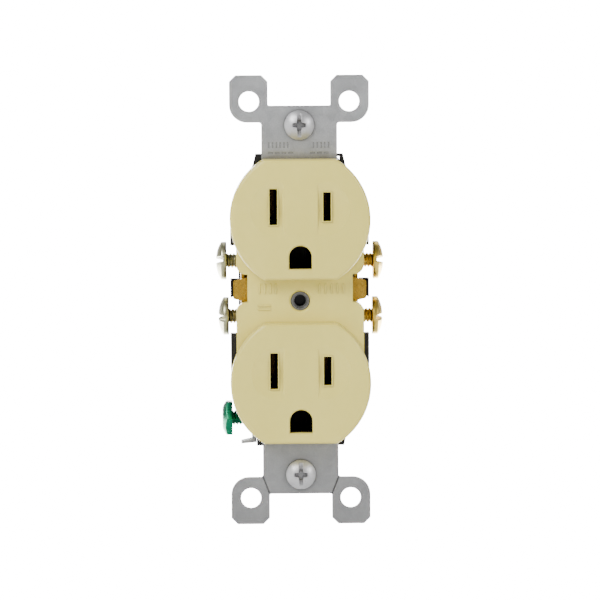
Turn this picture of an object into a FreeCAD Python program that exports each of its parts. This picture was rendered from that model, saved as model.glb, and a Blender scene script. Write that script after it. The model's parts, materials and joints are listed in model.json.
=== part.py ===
import FreeCAD, Part
import math
import os
import Sketcher

# Duplex wall outlet, 15 A, as an assembly of separate pieces.
# X is to the right, Y runs back into the wall and Z is up.
# The front of the steel strap is the plane Y = 0, and the origin is the
# axis of the hole that takes the screw of the wall plate.

os.makedirs("parts", exist_ok=True)
doc = FreeCAD.newDocument("DuplexOutlet")
sheet = doc.addObject("Spreadsheet::Sheet", "Dims")

# Every size in millimetres, except the angles in degrees.
SIZES = [
    # strap
    ("strap_thickness", 1.0),
    ("strap_end", 53.55),
    ("ear_outer", 16.6),
    ("ear_inner", 7.45),
    ("ear_low", 42.3),
    ("ear_corner_cut", 1.5),
    ("ear_low_radius", 4.2),
    ("ear_mid_edge", 46.3),
    ("ear_hole_x", 11.9),
    ("ear_hole_z", 47.3),
    ("ear_hole_radius", 2.4),
    ("neck_half", 9.0),
    ("bar_half", 4.6),
    ("wide_top", 28.6),
    ("wide_low", 23.8),
    ("neck_fillet", 0.6),
    ("inner_fillet", 0.4),
    ("score_half", 0.2),
    ("score_depth", 0.3),
    ("score_overrun", 0.6),
    ("mount_screw_z", 41.67),
    ("slot_half_length", 3.3),
    ("slot_radius", 2.1),
    ("boss_radius", 2.15),
    ("boss_hole_radius", 1.4),
    ("boss_front", -2.4),
    ("boss_relief_radius", 1.8),
    ("boss_relief_back", -1.0),
    ("pin_way_half", 3.0),
    ("pin_way_low", -3.1),
    ("pin_way_top", 3.0),
    ("lug_top", -24.2),
    ("lug_low", -34.2),
    ("lug_outer", 11.5),
    ("lug_depth", 13.0),
    ("lug_lip_outer", 14.1),
    ("lug_lip_front", 3.2),
    ("lug_lip_back", 7.5),
    ("lug_lip_drop", 0.3),
    ("lug_lip_tip", 0.5),
    ("lug_arm_low", -31.2),
    ("stamp_depth", 0.12),
    ("thread_clear_radius", 1.8),
    # face cover
    ("face_centre", 19.45),
    ("face_radius", 16.65),
    ("face_half_height", 14.25),
    ("face_front", -7.0),
    ("face_rim_fillet", 0.8),
    ("face_skin", 2.2),
    ("face_wall", 1.8),
    ("bridge_half_width", 15.15),
    ("bridge_half_height", 13.0),
    ("bridge_front", -2.8),
    ("bridge_back", -1.0),
    ("bridge_hollow_half", 11.0),
    ("bridge_hollow_height", 12.0),
    ("notch_inner", 12.5),
    ("notch_centre", 3.0),
    ("notch_half", 3.3),
    ("notch_corner", 2.4),
    ("cover_hole_radius", 2.3),
    ("cover_hole_chamfer", 0.45),
    ("strap_side_clear", 0.15),
    ("post_radius", 1.2),
    ("post_x", 10.6),
    ("post_top_z", 27.5),
    ("post_low_z", -21.6),
    ("post_end", 8.0),
    ("post_clear", 0.05),
    ("mark_height", 0.2),
    ("mark_bar", 0.42),
    # plug openings
    ("blade_x", 6.35),
    ("blade_rise", 3.06),
    ("blade_slot_half", 0.9),
    ("neutral_slot_half", 4.25),
    ("hot_slot_half", 3.4),
    ("dish_x", 5.6),
    ("dish_rise", 2.6),
    ("dish_radius", 6.2),
    ("dish_depth", 0.65),
    ("panel_half", 4.3),
    ("panel_top", 8.9),
    ("panel_low", -5.5),
    ("panel_fillet", 0.45),
    ("slot_lip", 0.3),
    ("slot_lip_front", -6.85),
    ("ground_edge_chamfer", 0.25),
    ("ground_drop", 8.85),
    ("ground_hole_radius", 2.675),
    ("ground_hole_flat", 2.8),
    # back body
    ("body_front", 1.0),
    ("rim_back", 5.0),
    ("body_back", 23.0),
    ("rim_half", 16.5),
    ("rim_straight", 21.0),
    ("rim_shoulder_x", 11.0),
    ("rim_shoulder_z", 32.2),
    ("rim_end_x", 10.4),
    ("rim_end_z", 34.8),
    ("rear_half", 15.0),
    ("rear_straight", 23.4),
    ("rear_shoulder_x", 10.4),
    ("rear_shoulder_z", 31.2),
    ("rear_end_x", 9.8),
    ("rear_end_z", 33.6),
    ("bay_inner", 4.6),
    ("bay_outer", 9.8),
    ("bay_top", 26.6),
    ("bay_low", -20.6),
    ("bay_floor", 14.8),
    ("recess_top", 13.7),
    ("recess_low", -9.2),
    ("recess_rim_top", 13.1),
    ("recess_rim_low", -8.0),
    ("recess_wall", 14.4),
    ("channel_half", 4.0),
    ("channel_reach_up", 8.3),
    ("channel_reach_down", 4.0),
    ("channel_floor", 13.5),
    ("lug_pocket_x", 10.42),
    ("lug_pocket_top", -23.6),
    ("lug_pocket_floor", 15.0),
    ("rib_low", 1.9),
    ("rib_top", 3.1),
    ("rib_inner", 12.6),
    ("rib_front", 3.2),
    ("loop_wall", 0.4),
    ("loop_low", 0.7),
    ("loop_top", 5.0),
    ("loop_inner", 14.2),
    ("loop_back", 6.0),
    ("finger_gap_inner", 8.6),
    ("finger_gap_outer", 9.7),
    ("finger_gap_low", 32.8),
    ("finger_gap_top", 34.2),
    ("rear_edge_fillet", 0.6),
    ("rear_corner_fillet", 1.0),
    # push-in wire terminals
    ("wire_hole_x", 10.8),
    ("wire_hole_radius", 1.15),
    ("wire_cone", 0.45),
    ("clip_pocket_inner", 6.4),
    ("clip_pocket_outer", 12.8),
    ("clip_pocket_half", 3.0),
    ("clip_pocket_floor", 21.0),
    ("release_inner", 7.6),
    ("release_outer", 8.8),
    ("release_half", 1.7),
    ("gauge_half", 6.0),
    ("gauge_low", -0.9),
    ("gauge_top", 0.9),
    ("gauge_depth", 0.4),
    ("back_rib_height", 0.6),
    ("clip_thickness", 0.35),
    ("clip_half_width", 2.0),
    ("clip_leg_front", 15.4),
    ("clip_bend_y", 20.3),
    ("clip_apex_x", 7.3),
    ("clip_apex_y", 20.8),
    ("clip_tip_x", 11.3),
    ("clip_tip_y", 16.9),
    # brass strips
    ("brass_thickness", 0.8),
    ("plate_outer", 14.0),
    ("plate_front", 5.0),
    ("upper_screw_z", 9.0),
    ("lower_screw_z", -4.3),
    ("terminal_screw_y", 9.5),
    ("plate_reach", 4.0),
    ("plate_gap_top", 3.85),
    ("plate_gap_low", 1.05),
    ("leg_width", 1.2),
    ("tab_front", 2.0),
    ("tab_inner", 12.3),
    ("tab_outer", 15.9),
    ("tab_centre", 2.45),
    ("tab_inner_half", 2.95),
    ("tab_outer_half", 2.15),
    ("tab_corner", 0.5),
    ("strip_mid_inner", 7.2),
    ("strip_arm_inner", 4.7),
    ("strip_arm_outer", 9.5),
    ("contact_half", 3.3),
    ("leaf_thickness", 0.5),
    ("leaf_root", 1.15),
    ("leaf_root_y", 12.0),
    ("leaf_pinch", 0.45),
    ("leaf_pinch_y", 7.6),
    ("leaf_flare", 1.05),
    ("leaf_flare_y", 5.2),
    ("wire_plate_inner", 11.75),
    ("wire_plate_back", 20.5),
    ("wire_plate_half", 2.6),
    # ground contacts
    ("ground_upper_z", 10.6),
    ("ground_lower_z", -28.3),
    ("ground_base_half", 3.75),
    ("ground_base_low", -3.9),
    ("ground_base_top", 8.0),
    ("ground_base_thickness", 0.6),
    ("ground_rivet_rise", 5.6),
    ("ground_leaf_half", 2.4),
    ("ground_leaf_root", 3.25),
    ("ground_leaf_pinch", 1.95),
    ("ground_leaf_flare", 2.6),
    ("ground_leaf_root_y", 3.5),
    ("ground_leaf_pinch_y", 8.5),
    ("ground_leaf_end_y", 12.4),
    # rivets
    ("small_rivet_radius", 1.0),
    ("small_rivet_head", 1.8),
    ("small_rivet_head_height", 0.6),
    ("body_rivet_radius", 1.2),
    ("body_rivet_head", 2.2),
    ("body_rivet_head_height", 0.8),
    ("body_rivet_upper_z", 25.5),
    ("body_rivet_lower_z", -13.5),
    ("rivet_clear", 0.05),
    # screws, number 6 with 32 threads to the inch
    ("thread_radius", 1.753),
    ("thread_pitch", 0.794),
    ("thread_mouth", 0.44),
    ("thread_depth", 0.32),
    ("terminal_head_radius", 4.55),
    ("terminal_head_rim", 1.45),
    ("terminal_head_height", 2.5),
    ("terminal_slot_half", 0.6),
    ("terminal_slot_depth", 1.7),
    ("terminal_shank", 7.8),
    ("stake_radius", 2.05),
    ("stake_length", 0.6),
    ("upper_left_under", 17.4),
    ("lower_left_under", 16.9),
    ("upper_right_under", 17.75),
    ("lower_right_under", 17.55),
    ("cross_half_width", 0.45),
    ("cross_reach", 1.9),
    ("cross_depth", 1.4),
    ("ground_screw_y", 8.0),
    ("ground_screw_z", -28.7),
    ("ground_under", 16.2),
    ("ground_shank", 7.4),
    ("hex_half_flats", 3.97),
    ("hex_height", 2.4),
    ("hex_crown", 1.3),
    ("hex_top_radius", 2.6),
    ("hex_slot_half", 0.55),
    ("hex_slot_depth", 1.1),
    ("mount_head_radius", 3.55),
    ("mount_head_rim", 0.7),
    ("mount_head_height", 2.0),
    ("mount_shank", 25.4),
    ("screw_neck_radius", 1.5),
    ("screw_neck_length", 2.2),
    ("mount_slot_half", 0.5),
    ("mount_slot_depth", 1.0),
    ("shank_tip_chamfer", 0.6),
    # fibre retaining washers
    ("retainer_half", 4.0),
    ("retainer_thickness", 0.8),
    ("retainer_hole_radius", 1.55),
    ("retainer_corner", 1.2),
]


class Size:
    """A length that remembers the expression it was worked out with."""

    def __init__(self, number, text):
        self.number = float(number)
        self.text = text

    def __add__(self, other):
        other = size(other)
        return Size(self.number + other.number, f"({self.text} + {other.text})")

    def __sub__(self, other):
        other = size(other)
        return Size(self.number - other.number, f"({self.text} - {other.text})")

    def __mul__(self, other):
        other = size(other)
        return Size(self.number * other.number, f"({self.text} * {other.text})")

    def __truediv__(self, other):
        other = size(other)
        return Size(self.number / other.number, f"({self.text} / {other.text})")

    def __neg__(self):
        return Size(-self.number, f"(0 - {self.text})")

    def __rsub__(self, other):
        return size(other) - self

    __radd__ = __add__
    __rmul__ = __mul__


def size(value):
    """Turn a plain number into a Size, and leave a Size as it is."""
    if isinstance(value, Size):
        return value
    return Size(value, f"({value})")


def root(value):
    """The square root of a Size."""
    return Size(math.sqrt(value.number), f"sqrt({value.text})")


class Namespace:
    """Holds one Size for each cell of the sheet."""


D = Namespace()


def fill_sheet():
    """Write every size into the sheet and give it its name."""
    for row, (name, value) in enumerate(SIZES, start=1):
        sheet.set(f"A{row}", name)
        sheet.set(f"B{row}", str(value))
        sheet.setAlias(f"B{row}", name)
        setattr(D, name, Size(value, f"Dims.{name}"))
    doc.recompute()


fill_sheet()


class Bend:
    """An arc to the next point, given by one coordinate of its centre."""

    def __init__(self, axis, value, left=True):
        self.axis = axis
        self.value = size(value)
        self.left = left


def new_body(name, x=0.0, y=0.0, z=0.0, rotation=None):
    """A body named after its node, placed with bound coordinates."""
    body = doc.addObject("PartDesign::Body", name)
    body.Label = name
    if rotation is not None:
        body.Placement = FreeCAD.Placement(FreeCAD.Vector(0, 0, 0), rotation)
    for axis, value in (("x", x), ("y", y), ("z", z)):
        if isinstance(value, Size):
            body.setExpression(f"Placement.Base.{axis}", value.text)
    return body


def origin_plane(body, role):
    """One of the three origin planes of a body."""
    for feature in body.Origin.OriginFeatures:
        if feature.Role == role:
            return feature
    raise ValueError(role)


def new_sketch(body, role, offset, across=0):
    """A sketch on an origin plane, moved along its normal and across it."""
    sketch = body.newObject("Sketcher::SketchObject", "Sketch")
    sketch.AttachmentSupport = [(origin_plane(body, role), "")]
    sketch.MapMode = "FlatFace"
    sketch.setExpression("AttachmentOffset.Base.z", size(offset).text)
    sketch.setExpression("AttachmentOffset.Base.x", size(across).text)
    return sketch


def pin_point(sketch, geometry, vertex, x, y):
    """Hold one point of a sketch at bound coordinates."""
    for kind, value in (("DistanceX", size(x)), ("DistanceY", size(y))):
        constraint = Sketcher.Constraint(kind, -1, 1, geometry, vertex, value.number)
        index = sketch.addConstraint(constraint)
        if "Dims" in value.text:
            sketch.setExpression(f"Constraints[{index}]", value.text)


def arc_centre(start, end, bend):
    """The centre of an arc that is given by one of its coordinates."""
    mid_x = (start[0] + end[0]) / 2
    mid_y = (start[1] + end[1]) / 2
    run_x = end[0] - start[0]
    run_y = end[1] - start[1]
    if bend.axis == "x":
        x = bend.value.number
        return x, mid_y - (x - mid_x) * run_x / run_y
    y = bend.value.number
    return mid_x - (y - mid_y) * run_y / run_x, y


def add_arc(sketch, start, end, bend):
    """Add an arc and tell which of its ends is the start of the segment."""
    centre = arc_centre(start, end, bend)
    radius = math.dist(centre, start)
    first = math.atan2(start[1] - centre[1], start[0] - centre[0])
    last = math.atan2(end[1] - centre[1], end[0] - centre[0])
    if not bend.left:
        first, last = last, first
    if last <= first:
        last += 2 * math.pi
    middle = FreeCAD.Vector(centre[0], centre[1], 0)
    circle = Part.Circle(middle, FreeCAD.Vector(0, 0, 1), radius)
    index = sketch.addGeometry(Part.ArcOfCircle(circle, first, last))
    return index, (1, 2) if bend.left else (2, 1)


def draw_outline(sketch, points):
    """A closed outline of lines and arcs through bound points."""
    spots = [(size(point[0]), size(point[1])) for point in points]
    numbers = [(x.number, y.number) for x, y in spots]
    segments = []
    for index, point in enumerate(points):
        start = numbers[index]
        end = numbers[(index + 1) % len(points)]
        if len(point) == 3:
            segments.append(add_arc(sketch, start, end, point[2]))
            continue
        first = FreeCAD.Vector(start[0], start[1], 0)
        last = FreeCAD.Vector(end[0], end[1], 0)
        line = sketch.addGeometry(Part.LineSegment(first, last))
        segments.append((line, (1, 2)))
    for index, (geometry, ends) in enumerate(segments):
        following, next_ends = segments[(index + 1) % len(segments)]
        joint = Sketcher.Constraint("Coincident", geometry, ends[1], following, next_ends[0])
        sketch.addConstraint(joint)
        pin_point(sketch, geometry, ends[0], *spots[index])
        if len(points[index]) == 3:
            hold_centre(sketch, geometry, points[index][2])


def hold_centre(sketch, geometry, bend):
    """Hold the known coordinate of the centre of an arc."""
    kind = "DistanceX" if bend.axis == "x" else "DistanceY"
    index = sketch.addConstraint(
        Sketcher.Constraint(kind, -1, 1, geometry, 3, bend.value.number)
    )
    if "Dims" in bend.value.text:
        sketch.setExpression(f"Constraints[{index}]", bend.value.text)


def draw_circle(sketch, x, y, radius):
    """A circle with bound centre and radius."""
    centre = FreeCAD.Vector(size(x).number, size(y).number, 0)
    circle = Part.Circle(centre, FreeCAD.Vector(0, 0, 1), size(radius).number)
    geometry = sketch.addGeometry(circle)
    index = sketch.addConstraint(Sketcher.Constraint("Radius", geometry, size(radius).number))
    sketch.setExpression(f"Constraints[{index}]", size(radius).text)
    pin_point(sketch, geometry, 3, x, y)


def rectangle(low_x, high_x, low_y, high_y):
    """The four corners of a rectangle, anticlockwise."""
    if size(low_x).number > size(high_x).number:
        low_x, high_x = high_x, low_x
    return [(low_x, low_y), (high_x, low_y), (high_x, high_y), (low_x, high_y)]


def along(role, low, high, cut):
    """Where a sketch starts so that its feature runs from low to high."""
    if role == "XZ_Plane":
        return -size(low) if cut else -size(high)
    return size(high) if cut else size(low)


def extrude(body, name, role, low, high, outlines=(), circles=(), cut=False):
    """Pad or pocket the given outlines and circles between two planes."""
    sketch = new_sketch(body, role, along(role, low, high, cut))
    for points in outlines:
        draw_outline(sketch, points)
    for circle in circles:
        draw_circle(sketch, *circle)
    kind = "PartDesign::Pocket" if cut else "PartDesign::Pad"
    feature = body.newObject(kind, name)
    feature.Profile = sketch
    feature.setExpression("Length", (size(high) - size(low)).text)
    sketch.Visibility = False
    return feature


def turn(body, name, points, cut=False):
    """Revolve an outline of the XZ plane about the local Z axis."""
    sketch = new_sketch(body, "XZ_Plane", 0)
    draw_outline(sketch, points)
    kind = "PartDesign::Groove" if cut else "PartDesign::Revolution"
    feature = body.newObject(kind, name)
    feature.Profile = sketch
    feature.ReferenceAxis = (sketch, ["V_Axis"])
    feature.Angle = 360
    sketch.Visibility = False
    return feature


def dress(body, kind, name, amount, wanted):
    """Fillet or chamfer the edges of the body whose middle is wanted."""
    doc.recompute()
    base = body.Tip
    chosen = []
    for index, edge in enumerate(base.Shape.Edges, start=1):
        middle = edge.valueAt((edge.FirstParameter + edge.LastParameter) / 2)
        if wanted(middle, edge):
            chosen.append(f"Edge{index}")
    if not chosen:
        raise RuntimeError(f"{body.Label} {name}: no edge found")
    feature = body.newObject(f"PartDesign::{kind}", name)
    feature.Base = (base, chosen)
    field = "Radius" if kind == "Fillet" else "Size"
    feature.setExpression(field, size(amount).text)
    doc.recompute()
    return feature


def near(first, second, limit=0.02):
    """Whether two plain numbers agree."""
    return abs(first - second) < limit


def upright(edge):
    """Whether an edge is straight and parallel to Y."""
    if len(edge.Vertexes) != 2:
        return False
    step = edge.Vertexes[1].Point - edge.Vertexes[0].Point
    return abs(step.x) < 0.01 and abs(step.z) < 0.01


def mirrored(points):
    """The outline seen in a mirror across X, still anticlockwise."""
    return [(-size(point[0]), point[1]) for point in reversed(points)]


def sided(points, side):
    """An outline drawn for the right side, moved to the asked side."""
    return points if side > 0 else mirrored(points)


# ---------------------------------------------------------------- strap


def ear_path(side, end):
    """The outline of one ear from the neck to the middle edge."""
    corner = D.ear_outer - D.ear_corner_cut
    cut_z = D.strap_end - D.ear_corner_cut
    path = [
        (D.neck_half, D.ear_low),
        (D.ear_outer, D.ear_low),
        (D.ear_outer, cut_z),
        (corner, D.strap_end),
        (D.ear_inner + D.ear_corner_cut, D.strap_end),
        (D.ear_inner, cut_z),
        (D.ear_inner, D.ear_mid_edge),
    ]
    return [(x * side, z * end) for x, z in path]


def strap_outline():
    """The flat outline of the strap, anticlockwise."""
    right_low = list(reversed(ear_path(1, -1)))
    right_top = ear_path(1, 1)
    left_top = list(reversed(ear_path(-1, 1)))
    left_low = ear_path(-1, -1)
    lug = [
        (-D.neck_half, -D.wide_low),
        (-D.neck_half, D.lug_top),
        (-D.lug_outer, D.lug_top),
        (-D.lug_outer, D.lug_arm_low),
        (-D.neck_half, D.lug_arm_low),
    ]
    outline = right_low
    outline += [(D.neck_half, -D.wide_low), (D.bar_half, -D.wide_low)]
    outline += [(D.bar_half, D.wide_top), (D.neck_half, D.wide_top)]
    outline += right_top + left_top
    outline += [(-D.neck_half, D.wide_top), (-D.bar_half, D.wide_top)]
    outline += [(-D.bar_half, -D.wide_low)]
    return outline + lug + left_low


def score_outline(side, end):
    """The break-off line across the root of one ear."""
    lean = (D.neck_half - D.ear_inner) / (D.ear_mid_edge - D.ear_low)
    start_x = D.neck_half + lean * D.score_overrun
    start_z = D.ear_low - D.score_overrun
    end_x = D.ear_inner - lean * D.score_overrun
    end_z = D.ear_mid_edge + D.score_overrun
    points = [
        (start_x - D.score_half, start_z),
        (start_x + D.score_half, start_z),
        (end_x + D.score_half, end_z),
        (end_x - D.score_half, end_z),
    ]
    return [(x * side, z * end) for x, z in points]


def obround(half_length, radius, centre_z):
    """A slot with round ends, long in X."""
    flat = half_length - radius
    return [
        (-flat, centre_z - radius),
        (flat, centre_z - radius, Bend("x", flat)),
        (flat, centre_z + radius),
        (-flat, centre_z + radius, Bend("x", -flat)),
    ]


def pin_way(centre):
    """The square-cornered opening that lets the ground pin through."""
    return rectangle(
        -D.pin_way_half, D.pin_way_half, centre + D.pin_way_low, centre + D.pin_way_top
    )


def strap_holes(body):
    """Every hole through the flat of the strap."""
    ears = []
    for side in (-1, 1):
        for end in (-1, 1):
            ears.append((D.ear_hole_x * side, D.ear_hole_z * end, D.ear_hole_radius))
    extrude(body, "EarHoles", "XZ_Plane", 0, D.strap_thickness, circles=ears, cut=True)
    slots = []
    for end in (-1, 1):
        slots.append(obround(D.slot_half_length, D.slot_radius, D.mount_screw_z * end))
    extrude(body, "ScrewSlots", "XZ_Plane", 0, D.strap_thickness, slots, cut=True)
    pins = []
    rivets = []
    for centre in (D.ground_upper_z, D.ground_lower_z):
        pins.append(pin_way(centre))
        rivets.append((0, centre + D.ground_rivet_rise, D.small_rivet_radius))
    extrude(body, "PinHoles", "XZ_Plane", 0, D.strap_thickness, pins, cut=True)
    for centre in (D.body_rivet_upper_z, D.body_rivet_lower_z):
        rivets.append((0, centre, D.body_rivet_radius))
    extrude(body, "RivetHoles", "XZ_Plane", 0, D.strap_thickness, circles=rivets, cut=True)


def strap_scores(body):
    """Break-off lines on the back of all ears and the front of two."""
    back = D.strap_thickness - D.score_depth
    all_ears = [score_outline(side, end) for side in (-1, 1) for end in (-1, 1)]
    extrude(body, "BackScores", "XZ_Plane", back, D.strap_thickness, all_ears, cut=True)
    low_ears = [score_outline(side, -1) for side in (-1, 1)]
    extrude(body, "FrontScores", "XZ_Plane", 0, D.score_depth, low_ears, cut=True)


def strap_lug(body):
    """The tab bent back at the lower left that takes the ground screw."""
    inner = D.lug_outer - D.strap_thickness
    plate = rectangle(-D.lug_outer, -inner, D.lug_arm_low, D.lug_top)
    extrude(body, "LugPlate", "XZ_Plane", 0, D.lug_depth, [plate])
    foot = rectangle(-D.lug_outer, -inner, D.lug_low, D.lug_arm_low + 1)
    extrude(body, "LugFoot", "XZ_Plane", D.lug_lip_front, D.lug_depth, [foot])
    lip_top = D.lug_low + D.strap_thickness
    lip = [
        (-D.lug_lip_outer, D.lug_low - D.lug_lip_drop),
        (-inner, D.lug_low),
        (-inner, lip_top),
        (-D.lug_lip_outer, D.lug_low - D.lug_lip_drop + D.lug_lip_tip),
    ]
    extrude(body, "LugLip", "XZ_Plane", D.lug_lip_front, D.lug_lip_back, [lip])
    hole = (D.ground_screw_y, D.ground_screw_z, D.thread_clear_radius)
    extrude(body, "LugHole", "YZ_Plane", -D.lug_outer - 0.5, -inner + 0.5, circles=[hole], cut=True)


def strap_stamps(body):
    """Shallow plain tally marks pressed into the upper neck."""
    marks = []
    for start in (-7.4, -6.5, -5.6, -4.7, -3.8, -2.9, 3.2, 4.1, 5.0, 5.9, 6.8):
        marks.append(rectangle(start, size(start) + 0.35, 36.3, 37.6))
    for start in (-7.4, -5.8, -4.2, -2.6, 2.6, 4.2, 5.8):
        marks.append(rectangle(start, size(start) + 1.1, 34.9, 35.3))
    extrude(body, "Stamps", "XZ_Plane", 0, D.stamp_depth, marks, cut=True)


def make_strap():
    """The galvanised steel mounting strap with its four ears."""
    body = new_body("mounting_strap")
    extrude(body, "Plate", "XZ_Plane", 0, D.strap_thickness, [strap_outline()])
    outer = D.ear_outer.number
    low = D.ear_low.number
    neck = D.neck_half.number
    inner = D.ear_inner.number
    middle = D.ear_mid_edge.number
    dress(
        body, "Fillet", "EarCorners", D.ear_low_radius,
        lambda p, e: upright(e) and near(abs(p.x), outer) and near(abs(p.z), low),
    )
    dress(
        body, "Fillet", "NeckCorners", D.neck_fillet,
        lambda p, e: upright(e) and near(abs(p.x), neck) and near(abs(p.z), low),
    )
    dress(
        body, "Fillet", "InnerCorners", D.inner_fillet,
        lambda p, e: upright(e) and near(abs(p.x), inner) and near(abs(p.z), middle),
    )
    strap_holes(body)
    strap_scores(body)
    strap_stamps(body)
    strap_lug(body)
    boss = [(0, 0, D.boss_radius)]
    extrude(body, "Boss", "XZ_Plane", D.boss_front, 0, circles=boss)
    bore = [(0, 0, D.boss_hole_radius)]
    extrude(body, "BossHole", "XZ_Plane", D.boss_front - 0.5, D.strap_thickness + 0.5,
            circles=bore, cut=True)
    relief = [(0, 0, D.boss_relief_radius)]
    extrude(body, "BossRelief", "XZ_Plane", D.boss_front - 0.5, D.boss_relief_back,
            circles=relief, cut=True)
    return body


# ----------------------------------------------------------- face cover


def face_outline(centre, inset):
    """A round face with a flat top and bottom."""
    radius = D.face_radius - inset
    half = D.face_half_height - inset
    corner = root(radius * radius - half * half)
    return [
        (corner, centre - half, Bend("x", 0)),
        (corner, centre + half),
        (-corner, centre + half, Bend("x", 0)),
        (-corner, centre - half),
    ]


def cover_shell(body):
    """The two faces and the bridge between them, hollow from behind."""
    back = D.body_front
    bridge = rectangle(
        -D.bridge_half_width, D.bridge_half_width, -D.bridge_half_height, D.bridge_half_height
    )
    extrude(body, "Bridge", "XZ_Plane", D.bridge_front, back, [bridge])
    for name, end in (("Upper", 1), ("Lower", -1)):
        outline = face_outline(D.face_centre * end, 0)
        extrude(body, f"{name}Face", "XZ_Plane", D.face_front, back, [outline])
    front = D.face_front.number
    dress(body, "Fillet", "FaceRims", D.face_rim_fillet, lambda p, e: near(p.y, front))
    hollow_front = D.face_front + D.face_skin
    for name, end in (("Upper", 1), ("Lower", -1)):
        outline = face_outline(D.face_centre * end, D.face_wall)
        extrude(body, f"{name}Hollow", "XZ_Plane", hollow_front, back, [outline], cut=True)
    middle = rectangle(
        -D.bridge_hollow_half, D.bridge_hollow_half,
        -D.bridge_hollow_height, D.bridge_hollow_height,
    )
    extrude(body, "BridgeHollow", "XZ_Plane", D.bridge_back, back, [middle], cut=True)


def cover_strap_relief(body):
    """Room for the wide parts of the strap behind the faces."""
    half = D.neck_half + D.strap_side_clear
    beyond = D.face_centre + D.face_half_height + 1
    clear = D.strap_side_clear
    reliefs = [
        rectangle(-half, half, D.wide_top - clear, beyond),
        rectangle(-half, half, -beyond, clear - D.wide_low),
    ]
    extrude(body, "StrapRelief", "XZ_Plane", 0, D.body_front, reliefs, cut=True)
    arm = rectangle(-D.lug_outer - clear, -D.neck_half, D.lug_low - clear, D.lug_top + clear)
    extrude(body, "LugRelief", "XZ_Plane", 0, D.body_front, [arm], cut=True)


def cover_notches(body):
    """The side notches that show the break-off tabs."""
    low = D.notch_centre - D.notch_half
    top = D.notch_centre + D.notch_half
    outer = D.bridge_half_width + 0.5
    notches = [rectangle(D.notch_inner * side, outer * side, low, top) for side in (-1, 1)]
    extrude(body, "Notches", "XZ_Plane", D.bridge_front, D.body_front, notches, cut=True)
    edge_x = D.bridge_half_width.number
    rims = (low.number, top.number)
    dress(
        body, "Fillet", "NotchCorners", D.notch_corner,
        lambda p, e: upright(e) and near(abs(p.x), edge_x)
        and (near(p.z, rims[0]) or near(p.z, rims[1])),
    )


def face_dish(body, name, side, centre):
    """A shallow dish around one blade slot, turned about a line along Y."""
    height = centre + D.dish_rise
    sketch = new_sketch(body, "XY_Plane", height, D.dish_x * side)
    floor = D.face_front + D.dish_depth
    profile = [
        (0, D.face_front - 0.5),
        (D.dish_radius, D.face_front - 0.5),
        (D.dish_radius, D.face_front, Bend("x", 0)),
        (0, floor),
    ]
    draw_outline(sketch, profile)
    feature = body.newObject("PartDesign::Groove", name)
    feature.Profile = sketch
    feature.ReferenceAxis = (sketch, ["V_Axis"])
    feature.Angle = 360
    sketch.Visibility = False


def face_panel(body, name, centre):
    """The panel that stands between the two dishes, with soft edges."""
    floor = D.face_front + D.dish_depth + 0.4
    half = D.panel_half
    panel = rectangle(-half, half, centre + D.panel_low, centre + D.panel_top)
    extrude(body, f"{name}Panel", "XZ_Plane", D.face_front, floor, [panel])
    front = D.face_front.number
    edge_x = half.number
    middle = centre.number + (D.panel_low.number + D.panel_top.number) / 2
    dress(
        body, "Fillet", f"{name}PanelEdges", D.panel_fillet,
        lambda p, e: near(p.y, front) and near(abs(p.x), edge_x)
        and abs(p.z - middle) < 6 and e.Length > 3,
    )


def slot_sizes(centre):
    """Middle and half length of the two blade slots of one face."""
    rise = centre + D.blade_rise
    return (
        (-D.blade_x, rise, D.neutral_slot_half),
        (D.blade_x, rise, D.hot_slot_half),
    )


def plug_openings(body, name, end):
    """The blade slots, their lips and the ground opening of one face."""
    centre = D.face_centre * end
    hollow = D.face_front + D.face_skin + 0.5
    for label, side in (("Left", -1), ("Right", 1)):
        face_dish(body, f"{name}{label}Dish", side, centre)
    face_panel(body, name, centre)
    lips = []
    slots = []
    for middle, height, half in slot_sizes(centre):
        wide = D.blade_slot_half + D.slot_lip
        tall = half + D.slot_lip
        lips.append(rectangle(middle - wide, middle + wide, height - tall, height + tall))
        wide = D.blade_slot_half
        slots.append(rectangle(middle - wide, middle + wide, height - half, height + half))
    lip_back = D.face_front + D.dish_depth + 0.4
    extrude(body, f"{name}Lips", "XZ_Plane", D.slot_lip_front, lip_back, lips)
    extrude(body, f"{name}Slots", "XZ_Plane", D.face_front, hollow, slots, cut=True)
    arch_z = centre - D.ground_drop
    arch = D.ground_hole_radius
    ground = [
        (-arch, arch_z - D.ground_hole_flat),
        (arch, arch_z - D.ground_hole_flat),
        (arch, arch_z, Bend("y", arch_z)),
        (-arch, arch_z),
    ]
    extrude(body, f"{name}Ground", "XZ_Plane", D.face_front, hollow, [ground], cut=True)
    front = D.face_front.number
    reach = arch.number + 0.1
    arch_mid = arch_z.number
    dress(
        body, "Chamfer", f"{name}GroundEdge", D.ground_edge_chamfer,
        lambda p, e: near(p.y, front) and abs(p.x) < reach and abs(p.z - arch_mid) < 3.2,
    )


def cover_marks(body):
    """Plain raised bars where a rating would stand."""
    bars = []
    for start in (-9.9, -8.6, -7.3, -6.0):
        bars.append(rectangle(start, D.mark_bar + start, 1.8, 4.1))
    for start in (4.4, 5.8, 7.2, 8.6, 10.0):
        bars.append(rectangle(start, D.mark_bar + start, 1.8, 4.1))
    for start in (-2.15, -1.25):
        bars.append(rectangle(-10.0, -7.0, start, D.mark_bar + start))
    front = D.bridge_front - D.mark_height
    extrude(body, "Marks", "XZ_Plane", front, D.bridge_front, bars)


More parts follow.
